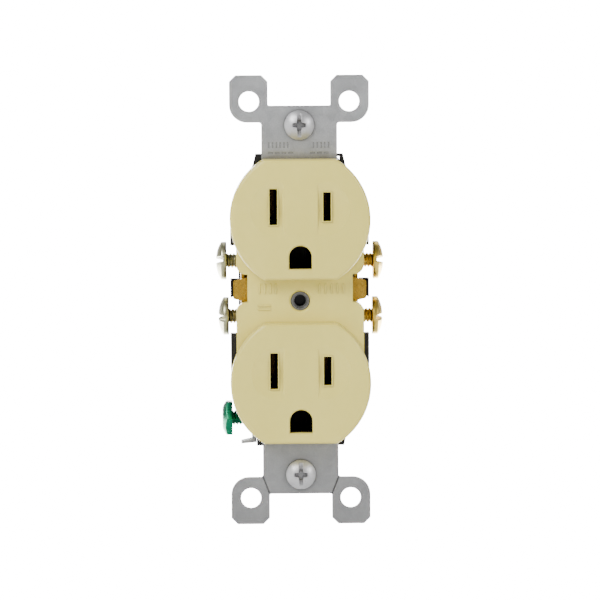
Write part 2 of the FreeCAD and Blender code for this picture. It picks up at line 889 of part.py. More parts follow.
def make_cover():
    """The ivory cover with both faces."""
    body = new_body("face_cover")
    cover_shell(body)
    cover_strap_relief(body)
    cover_notches(body)
    hole = [(0, 0, D.cover_hole_radius)]
    extrude(body, "CentreHole", "XZ_Plane", D.bridge_front, D.bridge_back, circles=hole, cut=True)
    rim_y = D.bridge_front.number
    rim_r = D.cover_hole_radius.number
    dress(
        body, "Chamfer", "CentreChamfer", D.cover_hole_chamfer,
        lambda p, e: near(p.y, rim_y) and near(math.hypot(p.x, p.z), rim_r),
    )
    plug_openings(body, "Upper", 1)
    plug_openings(body, "Lower", -1)
    cover_marks(body)
    posts = []
    for side in (-1, 1):
        for height in (D.post_top_z, D.post_low_z):
            posts.append((D.post_x * side, height, D.post_radius))
    top = D.face_front + D.face_skin
    extrude(body, "Posts", "XZ_Plane", top, D.post_end, circles=posts)
    return body


# ------------------------------------------------------------ back body


def body_outline(half, straight, shoulder_x, shoulder_z, end_x, end_z):
    """An eight-sided case outline with sloping shoulders."""
    quarter = [(half, straight), (shoulder_x, shoulder_z), (end_x, end_z)]
    right = [(x, -z) for x, z in reversed(quarter)] + quarter
    return right + [(-x, z) for x, z in reversed(right)]


def case_shell(body):
    """The wide front rim and the narrower rear of the case."""
    rim = body_outline(
        D.rim_half, D.rim_straight, D.rim_shoulder_x, D.rim_shoulder_z, D.rim_end_x, D.rim_end_z
    )
    extrude(body, "Rim", "XZ_Plane", D.body_front, D.rim_back, [rim])
    rear = body_outline(
        D.rear_half, D.rear_straight, D.rear_shoulder_x, D.rear_shoulder_z,
        D.rear_end_x, D.rear_end_z,
    )
    extrude(body, "Rear", "XZ_Plane", D.rim_back, D.body_back, [rear])
    back = D.body_back.number
    rim_back = D.rim_back.number
    dress(
        body, "Fillet", "RearCorners", D.rear_corner_fillet,
        lambda p, e: upright(e) and p.y > rim_back + 1,
    )
    dress(body, "Fillet", "RearEdge", D.rear_edge_fillet, lambda p, e: near(p.y, back))


def case_bays(body):
    """The room inside for the brass strips and the ground contacts."""
    front = D.body_front
    for name, side in (("Left", -1), ("Right", 1)):
        bay = rectangle(D.bay_inner * side, D.bay_outer * side, D.bay_low, D.bay_top)
        extrude(body, f"{name}Bay", "XZ_Plane", front, D.bay_floor, [bay], cut=True)
        middle = rectangle(
            D.bay_inner * side, D.recess_wall * side, D.recess_low, D.recess_top
        )
        extrude(body, f"{name}Middle", "XZ_Plane", front, D.bay_floor, [middle], cut=True)
        outside = (D.rim_half + 1) * side
        rim = rectangle(D.recess_wall * side, outside, D.recess_rim_low, D.recess_rim_top)
        extrude(body, f"{name}RimRecess", "XZ_Plane", front, D.rim_back, [rim], cut=True)
        rear = rectangle(D.recess_wall * side, outside, D.recess_low, D.recess_top)
        extrude(body, f"{name}RearRecess", "XZ_Plane", D.rim_back, D.body_back, [rear], cut=True)
    channels = []
    for centre in (D.ground_upper_z, D.ground_lower_z):
        channels.append(
            rectangle(
                -D.channel_half, D.channel_half,
                centre - D.channel_reach_down, centre + D.channel_reach_up,
            )
        )
    extrude(body, "Channels", "XZ_Plane", front, D.channel_floor, channels, cut=True)


def case_barriers(body):
    """The barrier between the two terminal screws of each side."""
    for name, side in (("Left", -1), ("Right", 1)):
        strip_front = D.bay_floor - D.brass_thickness
        rib = rectangle(D.rib_inner * side, D.rear_half * side, D.rib_low, D.rib_top)
        extrude(body, f"{name}Rib", "XZ_Plane", D.rib_front, strip_front - 0.1, [rib])
        root_x = (D.plate_outer + 0.05) * side
        rib_root = rectangle(root_x, D.rear_half * side, D.rib_low, D.rib_top)
        extrude(body, f"{name}RibRoot", "XZ_Plane", strip_front - 1, D.body_back, [rib_root])
        web = rectangle(D.loop_inner * side, D.rim_half * side, D.loop_low, D.loop_top)
        web_front = D.loop_back - D.brass_thickness
        extrude(body, f"{name}Web", "XZ_Plane", web_front, D.loop_back, [web])
        inner = D.rim_half - D.loop_wall
        wall = rectangle(inner * side, D.rim_half * side, D.loop_low, D.loop_top)
        extrude(body, f"{name}LoopWall", "XZ_Plane", D.body_front, D.loop_back, [wall])
        returns = [
            rectangle(
                D.loop_inner * side, D.rim_half * side, D.loop_low, D.loop_low + D.loop_wall
            ),
            rectangle(
                D.loop_inner * side, D.rim_half * side, D.loop_top - D.loop_wall, D.loop_top
            ),
        ]
        extrude(body, f"{name}LoopEnds", "XZ_Plane", D.rib_front, D.loop_back, returns)


def case_lug_pocket(body):
    """Room at the lower left for the lug and the ground screw."""
    far = D.rim_end_z + 1
    pocket = rectangle(-D.rim_half - 1, -D.lug_pocket_x, -far, D.lug_pocket_top)
    extrude(body, "LugPocket", "XZ_Plane", D.body_front, D.lug_pocket_floor, [pocket], cut=True)
    bore = (D.ground_screw_y, D.ground_screw_z, D.thread_clear_radius + 0.3)
    extrude(body, "LugBore", "YZ_Plane", -D.lug_pocket_x - 1, -D.channel_half + 0.5,
            circles=[bore], cut=True)
    gap = rectangle(D.finger_gap_inner, D.finger_gap_outer, D.finger_gap_low, D.finger_gap_top)
    extrude(body, "FingerGap", "XZ_Plane", D.body_front, D.body_back, [gap], cut=True)


def case_wire_entries(body):
    """Pockets, wire holes and release slots of the push-in terminals."""
    pockets = []
    wires = []
    releases = []
    for side in (-1, 1):
        for height in (D.upper_screw_z, D.lower_screw_z):
            pockets.append(
                rectangle(
                    D.clip_pocket_inner * side, D.clip_pocket_outer * side,
                    height - D.clip_pocket_half, height + D.clip_pocket_half,
                )
            )
            wires.append((D.wire_hole_x * side, height, D.wire_hole_radius))
            releases.append(
                rectangle(
                    D.release_inner * side, D.release_outer * side,
                    height - D.release_half, height + D.release_half,
                )
            )
    floor = D.clip_pocket_floor
    extrude(body, "ClipPockets", "XZ_Plane", D.bay_floor - 0.5, floor, pockets, cut=True)
    extrude(body, "WireHoles", "XZ_Plane", floor - 0.5, D.body_back, circles=wires, cut=True)
    rim_y = D.body_back.number
    hole_x = D.wire_hole_x.number
    reach = D.wire_hole_radius.number
    dress(
        body, "Chamfer", "WireCones", D.wire_cone,
        lambda p, e: near(p.y, rim_y) and near(abs(abs(p.x) - hole_x), reach)
        and e.Length < 8,
    )
    extrude(body, "Releases", "XZ_Plane", floor - 0.5, D.body_back, releases, cut=True)


def case_sockets(body):
    """Holes for the rivets and the posts of the cover, and back details."""
    posts = []
    for side in (-1, 1):
        for height in (D.post_top_z, D.post_low_z):
            posts.append((D.post_x * side, height, D.post_radius + D.post_clear))
    depth = D.post_end + 0.5
    extrude(body, "PostSockets", "XZ_Plane", D.body_front, depth, circles=posts, cut=True)
    rivets = []
    for height in (D.body_rivet_upper_z, D.body_rivet_lower_z):
        rivets.append((0, height, D.body_rivet_radius + D.rivet_clear))
    extrude(body, "RivetHoles", "XZ_Plane", D.body_front, D.body_back, circles=rivets, cut=True)
    gauge = rectangle(-D.gauge_half, D.gauge_half, D.gauge_low, D.gauge_top)
    extrude(body, "StripGauge", "XZ_Plane", D.body_back - D.gauge_depth, D.body_back,
            [gauge], cut=True)
    ribs = [
        rectangle(-8.0, 8.0, 16.6, 17.6),
        rectangle(-8.0, 8.0, -22.4, -21.4),
    ]
    extrude(body, "BackRibs", "XZ_Plane", D.body_back, D.body_back + D.back_rib_height, ribs)


def make_case():
    """The black case behind the strap."""
    body = new_body("back_body")
    case_shell(body)
    case_bays(body)
    case_barriers(body)
    case_lug_pocket(body)
    case_wire_entries(body)
    case_sockets(body)
    return body


# --------------------------------------------------------- brass strips


def strip_outline():
    """The flat strip that joins the terminal plates and both contacts."""
    plate_top = D.upper_screw_z + D.plate_reach
    plate_low = D.lower_screw_z - D.plate_reach
    top = D.face_centre + D.blade_rise + D.contact_half
    low = D.blade_rise - D.face_centre - D.contact_half
    upper_arm = top - D.contact_half * 2
    lower_arm = low + D.contact_half * 2
    return [
        (D.plate_outer, plate_low),
        (D.plate_outer, plate_top),
        (D.strip_arm_outer, plate_top),
        (D.strip_arm_outer, top),
        (D.strip_arm_inner, top),
        (D.strip_arm_inner, upper_arm),
        (D.strip_mid_inner, upper_arm),
        (D.strip_mid_inner, lower_arm),
        (D.strip_arm_inner, lower_arm),
        (D.strip_arm_inner, low),
        (D.strip_arm_outer, low),
        (D.strip_arm_outer, plate_low),
    ]


def leaf_outline(side, lean):
    """One springy leaf beside a blade, seen along Z."""
    inner = [
        (D.leaf_root, D.bay_floor - D.brass_thickness),
        (D.leaf_root, D.leaf_root_y),
        (D.leaf_pinch, D.leaf_pinch_y),
        (D.leaf_flare, D.leaf_flare_y),
    ]
    outer = [(x + D.leaf_thickness, y) for x, y in reversed(inner)]
    points = [((D.blade_x + x * lean) * side, y) for x, y in inner + outer]
    return points


def make_bus(name, side):
    """The brass piece of one side, from the screws to the blade contacts."""
    body = new_body(name)
    strip_front = D.bay_floor - D.brass_thickness
    strip = sided(strip_outline(), side)
    extrude(body, "Strip", "XZ_Plane", strip_front, D.bay_floor, [strip])
    plate_inner = D.plate_outer - D.brass_thickness
    low_x, high_x = plate_inner, D.plate_outer
    if side < 0:
        low_x, high_x = -D.plate_outer, -plate_inner
    plate_top = D.upper_screw_z + D.plate_reach
    plate_low = D.lower_screw_z - D.plate_reach
    plates = [
        [
            (D.tab_front, D.plate_gap_top),
            (D.bay_floor, D.plate_gap_top),
            (D.bay_floor, plate_top),
            (D.plate_front, plate_top),
            (D.plate_front, D.plate_gap_top + D.leg_width),
            (D.tab_front, D.plate_gap_top + D.leg_width),
        ],
        [
            (D.tab_front, D.plate_gap_low - D.leg_width),
            (D.plate_front, D.plate_gap_low - D.leg_width),
            (D.plate_front, plate_low),
            (D.bay_floor, plate_low),
            (D.bay_floor, D.plate_gap_low),
            (D.tab_front, D.plate_gap_low),
        ],
    ]
    extrude(body, "Plates", "YZ_Plane", low_x, high_x, plates)
    holes = []
    for height in (D.upper_screw_z, D.lower_screw_z):
        holes.append((D.terminal_screw_y, height, D.thread_clear_radius))
    extrude(body, "TappedHoles", "YZ_Plane", low_x - 0.5, high_x + 0.5, circles=holes, cut=True)
    tab = [
        (D.tab_inner * side, D.tab_centre - D.tab_inner_half),
        (D.tab_outer * side, D.tab_centre - D.tab_outer_half),
        (D.tab_outer * side, D.tab_centre + D.tab_outer_half),
        (D.tab_inner * side, D.tab_centre + D.tab_inner_half),
    ]
    extrude(body, "BreakTab", "XZ_Plane", D.tab_front, D.tab_front + D.brass_thickness, [tab])
    tab_x = D.tab_outer.number
    dress(
        body, "Fillet", "TabCorners", D.tab_corner,
        lambda p, e: upright(e) and near(abs(p.x), tab_x),
    )
    add_leaves(body, side)
    add_wire_plates(body, side)
    return body


def add_leaves(body, side):
    """Two leaves at each blade slot."""
    for name, end in (("Upper", 1), ("Lower", -1)):
        centre = D.face_centre * end + D.blade_rise
        low = centre - D.contact_half
        high = centre + D.contact_half
        leaves = [leaf_outline(side, lean) for lean in (-1, 1)]
        extrude(body, f"{name}Leaves", "XY_Plane", low, high, leaves)


def add_wire_plates(body, side):
    """The plates that the push-in wires are pressed against."""
    front = D.bay_floor - D.brass_thickness
    outer = D.wire_plate_inner + D.brass_thickness
    plates = []
    for height in (D.upper_screw_z, D.lower_screw_z):
        plates.append(
            rectangle(
                D.wire_plate_inner * side, outer * side,
                height - D.wire_plate_half, height + D.wire_plate_half,
            )
        )
    extrude(body, "WirePlates", "XZ_Plane", front, D.wire_plate_back, plates)


# ------------------------------------------------------- ground contacts


def make_ground_contact(name, height):
    """A brass clip for the round pin, fixed behind the strap."""
    body = new_body(name, z=height)
    front = D.strap_thickness
    back = front + D.ground_base_thickness
    base = rectangle(
        -D.ground_base_half, D.ground_base_half, D.ground_base_low, D.ground_base_top
    )
    extrude(body, "Base", "XZ_Plane", front, back, [base])
    extrude(body, "PinHole", "XZ_Plane", front, back, [pin_way(size(0))], cut=True)
    rivet = [(0, D.ground_rivet_rise, D.small_rivet_radius)]
    extrude(body, "RivetHole", "XZ_Plane", front, back, circles=rivet, cut=True)
    leaf = D.ground_base_half - D.ground_leaf_root
    inner = [
        (D.ground_leaf_root, front),
        (D.ground_leaf_root, D.ground_leaf_root_y),
        (D.ground_leaf_pinch, D.ground_leaf_pinch_y),
        (D.ground_leaf_flare, D.ground_leaf_end_y),
    ]
    outer = [(x + leaf, y) for x, y in reversed(inner)]
    for label, side in (("Left", -1), ("Right", 1)):
        points = [(x * side, y) for x, y in inner + outer]
        extrude(body, f"{label}Leaf", "XY_Plane", -D.ground_leaf_half, D.ground_leaf_half, [points])
    return body


# ---------------------------------------------------------------- rivets


def make_rivet(name, height, radius, head, head_height, length):
    """A rivet along Y with a low domed head at both ends."""
    facing = FreeCAD.Rotation(FreeCAD.Vector(1, 0, 0), 90)
    body = new_body(name, z=height, rotation=facing)
    profile = [
        (0, -length - head_height, Bend("x", 0)),
        (head, -length - head_height * 0.25),
        (head, -length),
        (radius, -length),
        (radius, 0),
        (head, 0),
        (head, head_height * 0.25, Bend("x", 0)),
        (0, head_height),
    ]
    turn(body, "Profile", profile)
    return body


# ---------------------------------------------------------------- screws


def thread_grooves(body, first, count):
    """A row of grooves of the thread, down the local Z axis from first."""
    half = D.thread_mouth / 2
    outer = D.thread_radius + 0.1
    groove = [
        (D.thread_radius - D.thread_depth, first - 0.05),
        (outer, first - half - 0.06),
        (outer, first + half + 0.06),
        (D.thread_radius - D.thread_depth, first + 0.05),
    ]
    feature = turn(body, "Thread", groove, cut=True)
    pattern = body.newObject("PartDesign::LinearPattern", "Threads")
    pattern.Originals = [feature]
    pattern.Direction = (feature.Profile[0], ["V_Axis"])
    pattern.Reversed = True
    pattern.setExpression("Length", (D.thread_pitch * (count - 1)).text)
    pattern.Occurrences = count
    body.Tip = pattern
    return pattern


def cross_recess(body, top, depth):
    """Two crossing slots in the crown of a screw."""
    reach = D.cross_reach
    half = D.cross_half_width
    for name, points in (
        ("CrossLong", rectangle(-reach, reach, -half, half)),
        ("CrossWide", rectangle(-half, half, -reach, reach)),
    ):
        extrude(body, name, "XY_Plane", top - depth, top + 0.5, [points], cut=True)


def soften_rim(body, amount, level, radius):
    """Round the sharp edge between the rim and the crown of a head."""
    high = level.number
    wide = radius.number
    dress(
        body, "Fillet", "RimEdge", amount,
        lambda p, e: near(p.z, high) and near(math.hypot(p.x, p.y), wide),
    )


def make_terminal_screw(name, side, under, height, turned):
    """A binding screw of one terminal, staked at the tip."""
    facing = FreeCAD.Rotation(FreeCAD.Vector(0, 1, 0), 90 * side)
    facing = facing.multiply(FreeCAD.Rotation(FreeCAD.Vector(0, 0, 1), 90 + turned))
    body = new_body(name, x=under * side, y=D.terminal_screw_y, z=height, rotation=facing)
    profile = [
        (0, -D.terminal_shank),
        (D.stake_radius - 0.5, -D.terminal_shank),
        (D.stake_radius, 0.35 - D.terminal_shank),
        (D.stake_radius, D.stake_length - D.terminal_shank),
        (D.thread_radius, D.stake_length - D.terminal_shank),
        (D.thread_radius, 0),
        (D.terminal_head_radius, 0),
        (D.terminal_head_radius, D.terminal_head_rim, Bend("x", 0)),
        (0, D.terminal_head_height),
    ]
    turn(body, "Profile", profile)
    soften_rim(body, 0.7, D.terminal_head_rim, D.terminal_head_radius)
    thread_grooves(body, size(-0.6), 8)
    slot = rectangle(
        -D.terminal_head_radius - 1, D.terminal_head_radius + 1,
        -D.terminal_slot_half, D.terminal_slot_half,
    )
    top = D.terminal_head_height
    extrude(body, "Slot", "XY_Plane", top - D.terminal_slot_depth, top + 0.5, [slot], cut=True)
    cross_recess(body, top, D.terminal_slot_depth)
    return body


def make_ground_screw():
    """The green screw with a six-sided head."""
    facing = FreeCAD.Rotation(FreeCAD.Vector(0, 1, 0), -90)
    body = new_body(
        "ground_screw", x=-D.ground_under, y=D.ground_screw_y, z=D.ground_screw_z,
        rotation=facing,
    )
    shank = [
        (0, -D.ground_shank),
        (D.stake_radius - 0.5, -D.ground_shank),
        (D.stake_radius, 0.35 - D.ground_shank),
        (D.stake_radius, D.stake_length - D.ground_shank),
        (D.thread_radius, D.stake_length - D.ground_shank),
        (D.thread_radius, 0),
        (0, 0),
    ]
    turn(body, "Shank", shank)
    thread_grooves(body, size(-0.6), 8)
    flat = D.hex_half_flats
    point = flat * (2 / math.sqrt(3))
    hexagon = [
        (flat, -point / 2),
        (flat, point / 2),
        (0, point),
        (-flat, point / 2),
        (-flat, -point / 2),
        (0, -point),
    ]
    extrude(body, "Head", "XY_Plane", 0, D.hex_height, [hexagon])
    crown_low = D.hex_height - D.hex_crown
    crown = [
        (D.hex_top_radius, D.hex_height),
        (point + 0.1, crown_low),
        (point + 0.5, crown_low),
        (point + 0.5, D.hex_height + 0.1),
        (D.hex_top_radius, D.hex_height + 0.1),
    ]
    turn(body, "Crown", crown, cut=True)
    slot = rectangle(-point - 1, point + 1, -D.hex_slot_half, D.hex_slot_half)
    top = D.hex_height
    extrude(body, "Slot", "XY_Plane", top - D.hex_slot_depth, top + 0.5, [slot], cut=True)
    return body


def make_mounting_screw(name, height):
    """A screw that holds the strap to the box."""
    facing = FreeCAD.Rotation(FreeCAD.Vector(1, 0, 0), 90)
    body = new_body(name, z=height, rotation=facing)
    profile = [
        (0, -D.mount_shank),
        (D.thread_radius - D.shank_tip_chamfer, -D.mount_shank),
        (D.thread_radius, D.shank_tip_chamfer - D.mount_shank),
        (D.thread_radius, -D.screw_neck_length),
        (D.screw_neck_radius, -D.screw_neck_length),
        (D.screw_neck_radius, 0),
        (D.mount_head_radius, 0),
        (D.mount_head_radius, D.mount_head_rim, Bend("x", 0)),
        (0, D.mount_head_height),
    ]
    turn(body, "Profile", profile)
    soften_rim(body, 0.4, D.mount_head_rim, D.mount_head_radius)
    thread_grooves(body, size(-3.0), 28)
    slot = rectangle(
        -D.mount_slot_half, D.mount_slot_half,
        -D.mount_head_radius - 1, D.mount_head_radius + 1,
    )
    top = D.mount_head_height
    extrude(body, "Slot", "XY_Plane", top - D.mount_slot_depth, top + 0.5, [slot], cut=True)
    cross_recess(body, top, D.cross_depth)
    return body


def make_retainer(name, height):
    """A fibre washer that keeps a mounting screw in its slot."""
    body = new_body(name, z=height)
    front = D.strap_thickness
    back = front + D.retainer_thickness
    half = D.retainer_half
    square = rectangle(-half, half, -half, half)
    extrude(body, "Square", "XZ_Plane", front, back, [square])
    corner = D.retainer_half.number
    dress(
        body, "Fillet", "Corners", D.retainer_corner,
        lambda p, e: upright(e) and near(abs(p.x), corner),
    )
    hole = [(0, 0, D.retainer_hole_radius)]
    extrude(body, "Hole", "XZ_Plane", front, back, circles=hole, cut=True)
    return body


def make_clip(name, side, height):
    """A stainless spring that grips a pushed-in wire."""
    body = new_body(name, z=height)
    leg = D.clip_pocket_inner
    thick = D.clip_thickness
    points = [
        (leg, D.clip_leg_front),
        (leg + thick, D.clip_leg_front),
        (leg + thick, D.clip_bend_y - 0.2),
        (D.clip_apex_x, D.clip_apex_y - 0.5),
        (D.clip_tip_x - 0.25, D.clip_tip_y - 0.25),
        (D.clip_tip_x, D.clip_tip_y),
        (D.clip_apex_x + 0.1, D.clip_apex_y),
        (D.clip_apex_x - 0.35, D.clip_apex_y),
        (leg, D.clip_bend_y),
    ]
    half = D.clip_half_width
    extrude(body, "Spring", "XY_Plane", -half, half, [sided(points, side)])
    return body


def make_all():
    """Build every piece and give the bodies in order."""
    pieces = [make_strap(), make_cover(), make_case()]
    pieces.append(make_bus("neutral_bus", -1))
    pieces.append(make_bus("hot_bus", 1))
    for place, height in (("upper", D.ground_upper_z), ("lower", D.ground_lower_z)):
        pieces.append(make_ground_contact(f"ground_contact_{place}", height))
        pieces.append(
            make_rivet(
                f"ground_rivet_{place}", height + D.ground_rivet_rise,
                D.small_rivet_radius, D.small_rivet_head, D.small_rivet_head_height,
                D.strap_thickness + D.ground_base_thickness,
            )
        )
    for place, height in (("upper", D.body_rivet_upper_z), ("lower", D.body_rivet_lower_z)):
        pieces.append(
            make_rivet(
                f"body_rivet_{place}", height, D.body_rivet_radius, D.body_rivet_head,
                D.body_rivet_head_height, D.body_back,
            )
        )
    screws = (
        ("neutral_screw_upper", -1, D.upper_left_under, D.upper_screw_z, 8),
        ("neutral_screw_lower", -1, D.lower_left_under, D.lower_screw_z, -5),
        ("hot_screw_upper", 1, D.upper_right_under, D.upper_screw_z, -6),
        ("hot_screw_lower", 1, D.lower_right_under, D.lower_screw_z, 4),
    )
    for screw in screws:
        pieces.append(make_terminal_screw(*screw))
    pieces.append(make_ground_screw())
    for place, end in (("upper", 1), ("lower", -1)):
        pieces.append(make_mounting_screw(f"mounting_screw_{place}", D.mount_screw_z * end))
        pieces.append(make_retainer(f"screw_retainer_{place}", D.mount_screw_z * end))
    for label, side in (("neutral", -1), ("hot", 1)):
        pieces.append(make_clip(f"{label}_wire_clip_upper", side, D.upper_screw_z))
        pieces.append(make_clip(f"{label}_wire_clip_lower", side, D.lower_screw_z))
    return pieces


def check_state():
    """Stop when any object of the document failed."""
    for item in doc.Objects:
        state = " ".join(item.State)
        if "Invalid" in state or "Error" in state:
            raise RuntimeError(f"{item.Name} {item.Label}: {state}")


pieces = make_all()
doc.recompute()
check_state()
for piece in pieces:
    if not piece.Shape.isValid() or len(piece.Shape.Solids) != 1:
        raise RuntimeError(f"{piece.Label}: {len(piece.Shape.Solids)} solids")
    piece.Shape.exportStep(f"parts/{piece.Label}.step")
    print(f"{piece.Label}: {piece.Shape.Volume:.2f} mm3")
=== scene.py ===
import json
import math

import bmesh
import bpy
from mathutils import Matrix, Vector


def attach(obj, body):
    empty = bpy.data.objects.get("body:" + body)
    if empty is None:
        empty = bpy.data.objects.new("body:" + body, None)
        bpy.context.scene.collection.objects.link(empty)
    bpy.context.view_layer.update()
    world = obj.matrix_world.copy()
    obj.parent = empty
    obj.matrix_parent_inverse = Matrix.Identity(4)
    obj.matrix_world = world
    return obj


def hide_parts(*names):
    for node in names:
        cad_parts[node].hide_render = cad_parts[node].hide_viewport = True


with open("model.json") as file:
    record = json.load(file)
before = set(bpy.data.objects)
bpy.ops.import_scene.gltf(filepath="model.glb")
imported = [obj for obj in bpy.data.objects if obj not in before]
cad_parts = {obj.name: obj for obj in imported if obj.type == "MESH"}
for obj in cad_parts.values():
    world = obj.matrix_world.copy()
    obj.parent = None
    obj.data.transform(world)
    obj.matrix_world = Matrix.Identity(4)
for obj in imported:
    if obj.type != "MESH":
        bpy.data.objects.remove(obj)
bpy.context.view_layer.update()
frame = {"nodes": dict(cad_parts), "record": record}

MM = 0.001
NODES = frame["nodes"]


# ------------------------------------------------------------- node helpers


class Shader:
    """A short way to write a node material."""

    def __init__(self, name):
        self.material = bpy.data.materials.new(name)
        self.material.use_nodes = True
        self.tree = self.material.node_tree
        self.tree.nodes.clear()
        self.output = self.node("ShaderNodeOutputMaterial")
        self.surface = self.node("ShaderNodeBsdfPrincipled")
        self.link(self.surface.outputs["BSDF"], self.output.inputs["Surface"])
        self.place = self.node("ShaderNodeTexCoord").outputs["Object"]

    def node(self, kind, **fields):
        made = self.tree.nodes.new(kind)
        for field, value in fields.items():
            setattr(made, field, value)
        return made

    def link(self, source, target):
        self.tree.links.new(source, target)

    def feed(self, target, value):
        """Link a socket, or set a constant on it."""
        if isinstance(value, bpy.types.NodeSocket):
            self.link(value, target)
        else:
            target.default_value = value

    def stretch(self, x, y, z):
        """Object coordinates scaled along the axes."""
        mapping = self.node("ShaderNodeMapping")
        mapping.inputs["Scale"].default_value = (x, y, z)
        self.link(self.place, mapping.inputs["Vector"])
        return mapping.outputs["Vector"]

    def noise(self, scale, detail=4.0, roughness=0.55, vector=None, distortion=0.0):
        made = self.node("ShaderNodeTexNoise")
        self.link(vector or self.place, made.inputs["Vector"])
        made.inputs["Scale"].default_value = scale
        made.inputs["Detail"].default_value = detail
        made.inputs["Roughness"].default_value = roughness
        made.inputs["Distortion"].default_value = distortion
        return made.outputs["Fac"]

    def cells(self, scale):
        """One random tone for each grain."""
        made = self.node("ShaderNodeTexVoronoi")
        self.link(self.place, made.inputs["Vector"])
        made.inputs["Scale"].default_value = scale
        return made.outputs["Color"]

    def split(self):
        """The separate object coordinates."""
        parts = self.node("ShaderNodeSeparateXYZ")
        self.link(self.place, parts.inputs[0])
        return parts.outputs

    def remap(self, value, low, high, new_low=0.0, new_high=1.0):
        made = self.node("ShaderNodeMapRange", clamp=True)
        self.feed(made.inputs["Value"], value)
        made.inputs["From Min"].default_value = low
        made.inputs["From Max"].default_value = high
        made.inputs["To Min"].default_value = new_low
        made.inputs["To Max"].default_value = new_high
        return made.outputs["Result"]

    def math(self, operation, first, second=0.0):
        made = self.node("ShaderNodeMath", operation=operation)
        self.feed(made.inputs[0], first)
        self.feed(made.inputs[1], second)
        return made.outputs[0]

    def mix(self, factor, first, second, blend="MIX"):
        made = self.node("ShaderNodeMix", data_type="RGBA", blend_type=blend)
        self.feed(made.inputs[0], factor)
        for socket, value in ((made.inputs[6], first), (made.inputs[7], second)):
            if not isinstance(value, bpy.types.NodeSocket):
                value = (*value[:3], 1.0)
            self.feed(socket, value)
        return made.outputs[2]

    def crevice(self, distance, low, high):
        """An ambient-occlusion mask for painted shade: 1 in the open, falling to 0 deep in a corner.
        """
        made = self.node("ShaderNodeAmbientOcclusion", samples=4)
        made.inputs["Distance"].default_value = distance
        return self.remap(made.outputs["AO"], low, high)

    def edges(self, radius):
        """How much the surface bends within a small radius: 1 on edges."""
        bevel = self.node("ShaderNodeBevel", samples=4)
        bevel.inputs["Radius"].default_value = radius
        normal = self.node("ShaderNodeNewGeometry").outputs["Normal"]
        dot = self.node("ShaderNodeVectorMath", operation="DOT_PRODUCT")
        self.link(bevel.outputs["Normal"], dot.inputs[0])
        self.link(normal, dot.inputs[1])
        return self.remap(dot.outputs["Value"], 0.93, 0.72)

    def rounded(self, radius):
        """A normal that rounds every sharp edge slightly."""
        bevel = self.node("ShaderNodeBevel", samples=4)
        bevel.inputs["Radius"].default_value = radius
        return bevel.outputs["Normal"]

    def bump(self, height, distance, strength=1.0, normal=None):
        made = self.node("ShaderNodeBump")
        self.link(height, made.inputs["Height"])
        made.inputs["Distance"].default_value = distance
        made.inputs["Strength"].default_value = strength
        if normal is not None:
            self.link(normal, made.inputs["Normal"])
        return made.outputs["Normal"]

    def finish(self, color, roughness, normal=None, **constants):
        surface = self.surface.inputs
        if not isinstance(color, bpy.types.NodeSocket):
            color = (*color[:3], 1.0)
        self.feed(surface["Base Color"], color)
        self.feed(surface["Roughness"], roughness)
        if normal is not None:
            self.link(normal, surface["Normal"])
        for name, value in constants.items():
            surface[name.replace("_", " ")].default_value = value
        return self.material


# ---------------------------------------------------------------- materials


def plastic(name, light, dark, grain, rough, gloss, soft):
    """A moulded plastic with faint flow marks, fine grain, and painted shade that darkens its
    corners.
    """
    s = Shader(name)
    flow = s.remap(s.noise(60.0, 3.0, vector=s.stretch(1.0, 1.0, 0.35)), 0.3, 0.7)
    mottle = s.remap(s.noise(420.0, 5.0), 0.35, 0.68)
    base = s.mix(flow, light, dark)
    base = s.mix(s.math("MULTIPLY", mottle, 0.25), base, dark)
    # Painted shade: darker in corners and creases, where ambient occlusion finds them.
    corner_shade = s.crevice(0.0012, 0.25, 0.8)
    base = s.mix(corner_shade, [c * 0.72 for c in dark], base)
    grainy = s.noise(grain, 6.0, 0.6)
    scuffs = s.remap(s.noise(900.0, 2.0, vector=s.stretch(1.0, 1.0, 0.12)), 0.62, 0.75)
    roughness = s.remap(s.noise(300.0, 3.0), 0.3, 0.7, rough[0], rough[1])
    roughness = s.math("ADD", roughness, s.math("MULTIPLY", scuffs, 0.08))
    normal = s.bump(grainy, 0.00001, 0.6, s.rounded(soft))
    return s.finish(base, roughness, normal, Specular_IOR_Level=gloss)


def ivory():
    """The ivory cover."""
    material = plastic("ivory_cover", (0.832, 0.720, 0.176), (0.772, 0.662, 0.150), grain=2400.0,
                       rough=(0.28, 0.40), gloss=0.5, soft=0.0004)
    surface = material.node_tree.nodes["Principled BSDF"].inputs
    surface["Subsurface Weight"].default_value = 0.08
    surface["Subsurface Radius"].default_value = (0.9, 0.7, 0.35)
    surface["Subsurface Scale"].default_value = 0.0006
    surface["Coat Weight"].default_value = 0.06
    surface["Coat Roughness"].default_value = 0.25
    return material


def black_case():
    """The black case behind the strap."""
    return plastic("black_case", (0.012, 0.012, 0.013), (0.007, 0.007, 0.008), grain=1800.0,
                   rough=(0.40, 0.54), gloss=0.3, soft=0.00012)


